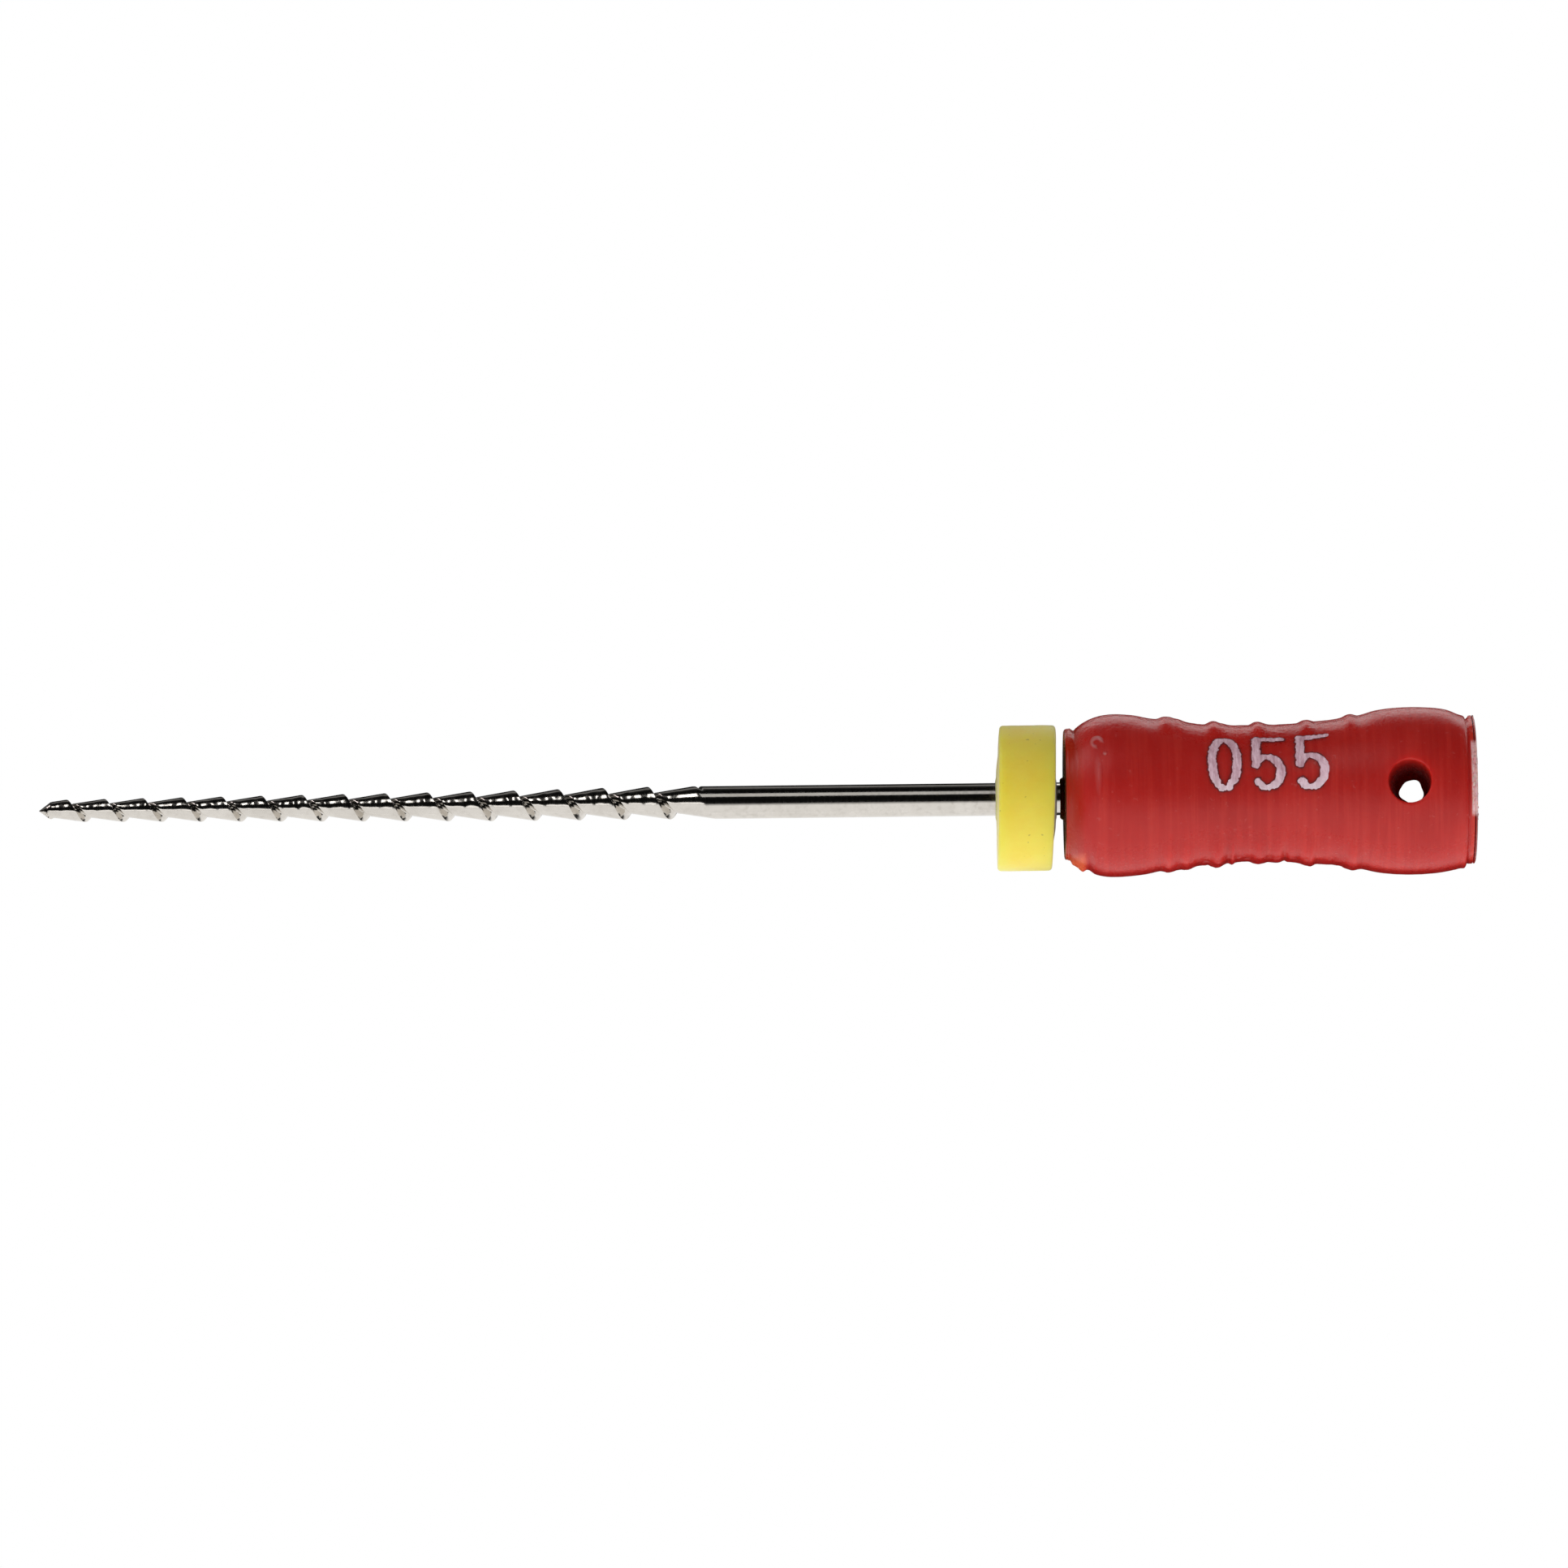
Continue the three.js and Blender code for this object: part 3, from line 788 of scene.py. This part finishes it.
def nickel_titanium():
    n = Nodes("nickel_titanium")
    grinding = n.noise(22, 3, 0.6, (1, 0.15, 0.15))
    blotches = n.noise(1.6, 3, 0.6)
    smears = n.noise(7, 3, 0.55)
    x, _, _ = n.position()
    uneven = n.math("ADD", x, n.math("MULTIPLY", n.noise(2.5, 1, 0.5), 0.35))
    chatter = n.math("SINE", n.math("MULTIPLY", uneven, TURN / CHATTER_PITCH))
    tint = n.mix(n.spread(blotches, 0.35, 0.7), METAL_DEEP, METAL_BRIGHT)
    tint = n.mix(n.spread(smears, 0.5, 0.8, 0, 0.5), tint, METAL_SMEARED)
    fluted = n.spread(x, TIP_X + CHATTER_END + 0.6, TIP_X + CHATTER_END)
    # Painted highlight: on the fluted part, faces that point towards +X get a brighter metal colour.
    face = n.spread(n.add("ShaderNodeSeparateXYZ", {0: n.facing}).outputs[0], 0.8, 0.95)
    tint = n.mix(n.math("MULTIPLY", face, fluted), tint, METAL_FACE_HIGHLIGHT)
    chatter = n.math("MULTIPLY", n.spread(chatter, -1, 1), fluted)
    n.set(
        Base_Color=tint,
        Metallic=1.0,
        Roughness=n.spread(grinding, 0.3, 0.7, 0.09, 0.17),
        Normal=n.bump(chatter, CHATTER_DEPTH, n.bump(grinding, 0.0002, n.bump(smears, 0.001))),
    )
    return n.material


def red_plastic():
    n = Nodes("red_plastic")
    streaks = n.noise(7, 3, 0.6, (1, 0.05, 0.05))
    grain = n.noise(12, 3, 0.6)
    x, y, z = n.position()
    u = n.math("SUBTRACT", x, HANDLE_X)
    shade_band = lower_shade_band(n, u, y, z)
    marks_and_highlight = mould_marks_and_highlight(n, u, y, z)
    colour = n.mix(n.spread(n.noise(0.45, 3, 0.5), 0.35, 0.65), RED_DEEP, RED_BRIGHT)
    colour = n.mix(n.spread(streaks, 0.45, 0.75, 0, 0.6), colour, RED_STREAKED)
    colour = n.mix(n.spread(n.noise(6, 2, 0.5), 0.68, 0.74, 0, 0.2), colour, RED_SPECKLED)
    colour = end_colours(n, colour, u, y, z, grain)
    # Painted shade: a band along the handle's lower -Y edge is coloured darker.
    colour = n.mix(n.math("MULTIPLY", shade_band, 0.6), colour, RED_LOWER_SHADE)
    # Painted highlight: the ring, dot and streak on the front shoulder are tinted pale pink.
    colour = n.mix(n.math("MULTIPLY", marks_and_highlight, 0.3), colour, RED_MARK_HIGHLIGHT)
    rough = n.math("SUBTRACT", n.spread(grain, 0.3, 0.7, 0.2, 0.3), n.math("MULTIPLY", shade_band, 0.06))
    rough = n.math("ADD", rough, n.spread(z, 1.2, 1.7, 0, 0.16))
    n.set(
        Base_Color=colour,
        Roughness=rough,
        Specular_IOR_Level=0.36,
        Subsurface_Weight=0.85,
        Subsurface_Radius=(1.0, 0.14, 0.08),
        Subsurface_Scale=0.6 * MM,
        IOR=1.5,
        Normal=n.bump(skin_height(n, y, z, grain, streaks, marks_and_highlight), 1.0),
    )
    return n.material


def end_colours(n, colour, u, y, z, grain):
    """Adds painted light through the thin front end, its flash and the rear lip, painted shade in the rear
    groove and on the front face, paler lines along the rims' outer edges, and the torn gate.
    """
    from_axis = n.hypot(n.math("SUBTRACT", y, OFF_CENTRE * 2), z)
    side = n.math("ABSOLUTE", y)
    # Painted light: the front end and the flash low on the -Y side are tinted orange, as light shining
    # through thin plastic.
    colour = n.mix(n.spread(u, 0.5, 0.08), colour, RED_FRONT_END_GLOW)
    flash = n.product(n.spread(y, -1.42, -1.6, 0, 0.8), n.spread(u, 0.55, 0.42))
    colour = n.mix(flash, colour, RED_FLASH_GLOW)
    # Painted light: the thin rear lip is a brighter orange-red, as light shining through it.
    colour = n.mix(n.spread(u, REAR_LIP_FROM - 0.02, REAR_LIP_FROM + 0.02), colour, RED_REAR_LIP_GLOW)
    # Painted shade: the fine groove cut round the rear rim is coloured nearly black.
    colour = n.mix(n.spread(n.gap(u, REAR_GROOVE_AT), 0.022, 0.014), colour, RED_GROOVE_SHADE)
    # Painted shade: the handle's front face is coloured nearly black.
    front_face_shade = n.product(n.spread(u, 0.035, 0.02), n.spread(side, 1.45, 1.2))
    colour = n.mix(front_face_shade, colour, RED_FRONT_FACE_SHADE)
    # A greyer, paler pink along the outer edges of the front and rear rims.
    front_edge = n.product(n.spread(u, 0.03, 0.02), n.spread(side, 1.1, 1.4), n.spread(from_axis, 1.5, 1.55))
    rear_edge = n.product(n.spread(u, 9.965, 9.975), n.spread(from_axis, 1.66, 1.72))
    colour = n.mix(n.math("MAXIMUM", front_edge, rear_edge), colour, RED_PALE_EDGE)
    gate = n.product(
        n.spread(z, 0.9, 1.0),
        n.spread(u, REAR_LIP_FROM, REAR_LIP_FROM + 0.03),
        n.spread(n.gap(y, 0.2), 0.95, 0.85),
        n.spread(grain, 0.3, 0.5, 0.35, 1.0),
        n.spread(from_axis, 1.6, 1.68),
    )
    return n.mix(gate, colour, RED_TORN)


def lower_shade_band(n, u, y, z):
    """1 along a band low on the -Y side, fading to 0: its colour is painted shade, and the plastic is
    glossier there.
    """
    from_above, from_below = n.spread(z, 0.5, 0.28), n.spread(z, -0.8, -0.15)
    return n.product(n.spread(y, -1.2, -1.45), from_above, n.spread(u, 0.5, 0.7), from_below)


def skin_height(n, y, z, grain, streaks, marks_and_highlight):
    """The fine relief in millimetres: the mould's ring, dot and streak, grain, turning lines and soft
    dimples on the sides.
    """
    sides = n.spread(n.math("ABSOLUTE", z), 1.25, 0.8)
    dimples = n.product(n.noise(6.5, 1, 0.5), sides, n.spread(y, 0, 0.5, 0.25, 1.0), 0.024)
    height = n.math("ADD", n.math("MULTIPLY", marks_and_highlight, 0.03), n.math("MULTIPLY", grain, 0.005))
    return n.math("ADD", n.math("ADD", height, dimples), n.math("MULTIPLY", streaks, 0.002))


def mould_marks_and_highlight(n, u, y, z):
    """1 on the open ring, the dot and a soft streak on the upper front shoulder, fading to 0. They get a
    little relief, and a pale colour as a painted highlight.
    """

    def from_spot(at_u, at_y, stretch=1.0):
        across = n.math("MULTIPLY", n.math("SUBTRACT", y, at_y), stretch)
        return n.hypot(n.math("SUBTRACT", u, at_u), across)

    ring = n.spread(n.gap(from_spot(0.78, 1.17), 0.12), 0.06, 0.01)
    opening = n.spread(from_spot(0.88, 1.07), 0.09, 0.14)
    dot = n.spread(from_spot(0.97, 0.87), 0.07, 0.02)
    highlight_streak = n.spread(from_spot(0.8, 0.35, 0.18), 0.1, 0.0, 0, 0.45)
    shapes = n.math("MAXIMUM", n.math("MULTIPLY", ring, opening), n.math("MAXIMUM", dot, highlight_streak))
    return n.math("MULTIPLY", shapes, n.spread(z, 0.5, 0.7))


def yellow_silicone():
    n = Nodes("yellow_silicone")
    clouds = n.noise(1.3, 4, 0.6)
    grain = n.noise(11, 4, 0.65)
    specks = n.noise(9, 1, 0.4)
    colour = n.mix(n.spread(clouds, 0.35, 0.65), YELLOW_DEEP, YELLOW_BRIGHT)
    colour = n.mix(n.spread(specks, 0.74, 0.8, 0, 0.5), colour, YELLOW_SPECKLED)
    n.set(
        Base_Color=colour,
        Roughness=n.spread(grain, 0.3, 0.7, 0.42, 0.6),
        Subsurface_Weight=1.0,
        Subsurface_Radius=(1.0, 0.8, 0.4),
        Subsurface_Scale=0.9 * MM,
        Sheen_Weight=0.45,
        Sheen_Roughness=0.45,
        IOR=1.43,
        Normal=n.bump(grain, 0.007, n.bump(clouds, 0.02)),
    )
    return n.material


def number_foil():
    n = Nodes("number_foil")
    ripples = n.noise(11, 3, 0.6, (1, 0.25, 0.25))
    crumbs = n.noise(24, 3, 0.6)
    _, y, _ = n.position()
    # Painted light: the foil turns paler towards -Y, on the softbox's side.
    low = n.spread(y, 0.35, -0.1)
    colour = n.mix(n.spread(ripples, 0.35, 0.65), FOIL_DEEP, FOIL_BRIGHT)
    colour = n.mix(n.math("MULTIPLY", low, 0.6), colour, FOIL_LIT_SIDE)
    colour = n.mix(n.spread(crumbs, 0.62, 0.72, 0, 0.7), colour, FOIL_CRUMBLED)
    n.set(
        Base_Color=colour,
        Roughness=n.spread(crumbs, 0.3, 0.7, 0.4, 0.65),
        Normal=n.bump(ripples, 0.035, n.bump(crumbs, 0.006)),
    )
    return n.material


# Painted shade: a dark red film round the number, for the shade in the stamp's pressed recess.
def press_shade_plastic():
    n = Nodes("press_shade_plastic")
    crumbs = n.noise(20, 3, 0.6)
    n.set(
        Base_Color=n.mix(crumbs, RED_PRESS_SHADE_DEEP, RED_PRESS_SHADE_BRIGHT),
        Roughness=n.spread(crumbs, 0.3, 0.7, 0.4, 0.6),
        Normal=n.bump(crumbs, 0.004),
    )
    return n.material


# Stage

SOFTBOX_RADIANCE, STRIP_RADIANCE, PANE_RADIANCE, RIM_RADIANCE = 1.0, 0.65, 2.6, 2.4
PANE_LEAN, PANE_HALF_WIDTH = 18, 4.5  # degrees: a narrow window that leans towards the tip
SOFTBOX_EDGES = (17, 23, 29)  # degrees from overhead: one lamp starts at each, for a soft upper edge
SOFTBOX_END = 91
STRIP_EDGES, STRIP_AT, STRIP_DISTANCE, STRIP_LENGTH = (33, 56), 0.5, 35, 13
PANEL_AWAY, PANEL_SIZE = (-0.45, -0.31, 0.9), (150, 60)
RIM_AWAY, RIM_SIZE, RIM_TINT = (-0.75, 0.62, 0.22), (130, 130), (1, 0.92, 0.95)
WORLD_FILL, WORLD_IN_GLOSS = 0.32, 0.003
LIGHT_DISTANCE = 300
FLOOR_SIZE = 3000


def aim(obj, location, target, up):
    """Places an object so that its -Z looks at the target, with its Y towards up."""
    back = (location - target).normalized()
    right = up.cross(back).normalized()
    turn = Matrix((right, back.cross(right), back)).transposed()
    obj.matrix_world = Matrix.Translation(location * MM) @ turn.to_4x4()


def area_light(name, target_x, away, distance, size, radiance, tint=(1, 1, 1)):
    """A flat light that looks at a point on the wire's axis, with its width roughly along the file."""
    lamp = bpy.data.lights.new(name, "AREA")
    lamp.shape, lamp.size, lamp.size_y = "RECTANGLE", size[0] * MM, size[1] * MM
    lamp.energy = math.pi * radiance * lamp.size * lamp.size_y
    lamp.color = tint
    shown = bpy.data.objects.new(name, lamp)
    bpy.context.scene.collection.objects.link(shown)
    target = Vector((target_x, 0, AXIS_Z))
    away = away.normalized()
    aim(shown, target + distance * away, target, away.cross(Vector((1, 0, 0))).normalized())
    shown.visible_camera = False


def overhead(side, low_angle, high_angle):
    """The direction midway between two angles from overhead, on the +Y side for 1 or the -Y side for -1,
    and the height of a light that fills them, per distance."""
    middle = math.radians((low_angle + high_angle) / 2)
    height = 2 * math.tan(math.radians(high_angle - low_angle) / 2)
    return Vector((0, side * math.sin(middle), math.cos(middle))), height


def studio():
    for edge in SOFTBOX_EDGES:
        away, height = overhead(-1, edge, SOFTBOX_END)
        size = (3 * LIGHT_DISTANCE, height * LIGHT_DISTANCE)
        area_light(f"softbox_{edge}", 0, away, LIGHT_DISTANCE, size, SOFTBOX_RADIANCE / len(SOFTBOX_EDGES))
    away, height = overhead(1, *STRIP_EDGES)
    size = (STRIP_LENGTH, height * STRIP_DISTANCE)
    area_light("strip", STRIP_AT, away, STRIP_DISTANCE, size, STRIP_RADIANCE)
    lean = Vector((-math.tan(math.radians(PANE_LEAN)), away.y, away.z))
    width = 2 * math.tan(math.radians(PANE_HALF_WIDTH)) * LIGHT_DISTANCE
    area_light("pane", -10, lean, LIGHT_DISTANCE, (width, height * LIGHT_DISTANCE), PANE_RADIANCE)
    area_light("panel", 0, Vector(PANEL_AWAY), LIGHT_DISTANCE, PANEL_SIZE, SOFTBOX_RADIANCE)
    area_light("rim", 12, Vector(RIM_AWAY), LIGHT_DISTANCE, RIM_SIZE, RIM_RADIANCE, RIM_TINT)
    world = bpy.data.worlds.new("studio")
    bpy.context.scene.world = world
    world.use_nodes = True
    world.cycles.sampling_method = "NONE"
    tree = world.node_tree
    background = tree.nodes["Background"]
    rays = tree.nodes.new("ShaderNodeLightPath").outputs
    glossy = spread_node(tree, rays["Is Glossy Ray"], WORLD_FILL, WORLD_IN_GLOSS)
    seen = spread_node(tree, rays["Is Camera Ray"], 0, 1)
    level = tree.nodes.new("ShaderNodeMath")
    level.operation = "MAXIMUM"
    tree.links.new(glossy, level.inputs[0])
    tree.links.new(seen, level.inputs[1])
    tree.links.new(level.outputs[0], background.inputs["Color"])


def spread_node(tree, value, at_zero, at_one):
    made = tree.nodes.new("ShaderNodeMapRange")
    made.inputs["To Min"].default_value, made.inputs["To Max"].default_value = at_zero, at_one
    tree.links.new(value, made.inputs["Value"])
    return made.outputs["Result"]


def floor():
    """A plain white sheet that glows evenly to the camera. What it gives the object is set by place: bright
    on the softbox's side and in a strip behind the handle, and nearly dark elsewhere. It takes no shadow."""
    half = FLOOR_SIZE / 2 * MM
    mesh = bpy.data.meshes.new("floor")
    corners = [(-half, -half, 0), (half, -half, 0), (half, half, 0), (-half, half, 0)]
    mesh.from_pydata(corners, [], [(0, 1, 2, 3)])
    sheet = bpy.data.objects.new("floor", mesh)
    bpy.context.scene.collection.objects.link(sheet)
    n = Nodes("white_sheet")
    n.tree.nodes.remove(n.shader)
    x, y, _ = n.position()
    under_handle = n.spread(x, STOP_X - 0.7, STOP_X + 0.5)
    shadow_edge = n.spread(under_handle, 0, 1, -0.3, -3.9)
    blur = n.spread(under_handle, 0, 1, 0.3, 0.5)
    front = n.spread(n.math("DIVIDE", n.math("SUBTRACT", y, shadow_edge), blur), 1, -1, 0, 1.0)
    behind = n.math("MULTIPLY", n.spread(y, 3.2, 4.2), n.spread(y, 10.0, 7.0, 0, 1.35))
    behind = n.math("MULTIPLY", behind, n.spread(under_handle, 0, 1, 0.15, 1))
    lit = n.math("ADD", n.math("MAXIMUM", front, behind), 0.02)
    seen = n.add("ShaderNodeLightPath").outputs["Is Camera Ray"]
    strength = n.math("MAXIMUM", n.math("MULTIPLY", lit, n.math("SUBTRACT", 1.0, seen)), seen)
    glow = n.add("ShaderNodeEmission", {"Color": (1, 1, 1, 1), "Strength": strength})
    n.tree.links.new(glow.outputs[0], n.tree.nodes["Material Output"].inputs["Surface"])
    n.material.cycles.emission_sampling = "NONE"
    mesh.materials.append(n.material)


CAMERA_DISTANCE = 300
CAMERA_SENSOR = 36
FRAME_WIDTH = 38.235  # the width in view at the file's axis
CAMERA_LENS = CAMERA_SENSOR * CAMERA_DISTANCE / FRAME_WIDTH
CAMERA_ELEVATION = math.radians(82.7)
CAMERA_ROLL = math.radians(0.628)
CENTRE_X = 0.671
CENTRE_ABOVE_AXIS = 0.433


def camera():
    """Looks down on the file, a little from the -Y side."""
    data = bpy.data.cameras.new("camera")
    data.lens, data.sensor_width = CAMERA_LENS, CAMERA_SENSOR
    data.clip_start, data.clip_end = 0.01, 10
    shown = bpy.data.objects.new("camera", data)
    bpy.context.scene.collection.objects.link(shown)
    back = Vector((0, -math.cos(CAMERA_ELEVATION), math.sin(CAMERA_ELEVATION)))
    flat_x = (Vector((1, 0, 0)) - back * back.x).normalized()
    flat_y = back.cross(flat_x)
    up = math.cos(CAMERA_ROLL) * flat_y + math.sin(CAMERA_ROLL) * flat_x
    target = Vector((CENTRE_X, 0, AXIS_Z)) + CENTRE_ABOVE_AXIS * up
    aim(shown, target + CAMERA_DISTANCE * back, target, up)
    bpy.context.scene.camera = shown
    bpy.context.scene.view_settings.view_transform = "Standard"


# Assembly

def place(piece, body, slot, *nodes):
    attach(piece, body)
    if nodes:
        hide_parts(*nodes)


camera()
studio()
floor()
place(fluted_wire(nickel_titanium()), "file", "nickel_titanium", "file_blank")
place(moulded_handle(red_plastic()), "file", "red_plastic", "handle")
place(silicone_stop(yellow_silicone()), "stop", "yellow_silicone", "silicone_stop")
# The dark film round the number is painted shade.
place(number_film("number_press_shade", 0.03, PRESS_HEIGHT, 0.001, press_shade_plastic()), "file", "red_plastic")
place(number_film("number_foil", 0.0, FOIL_HEIGHT, 0.003, number_foil()), "file", "size_print")
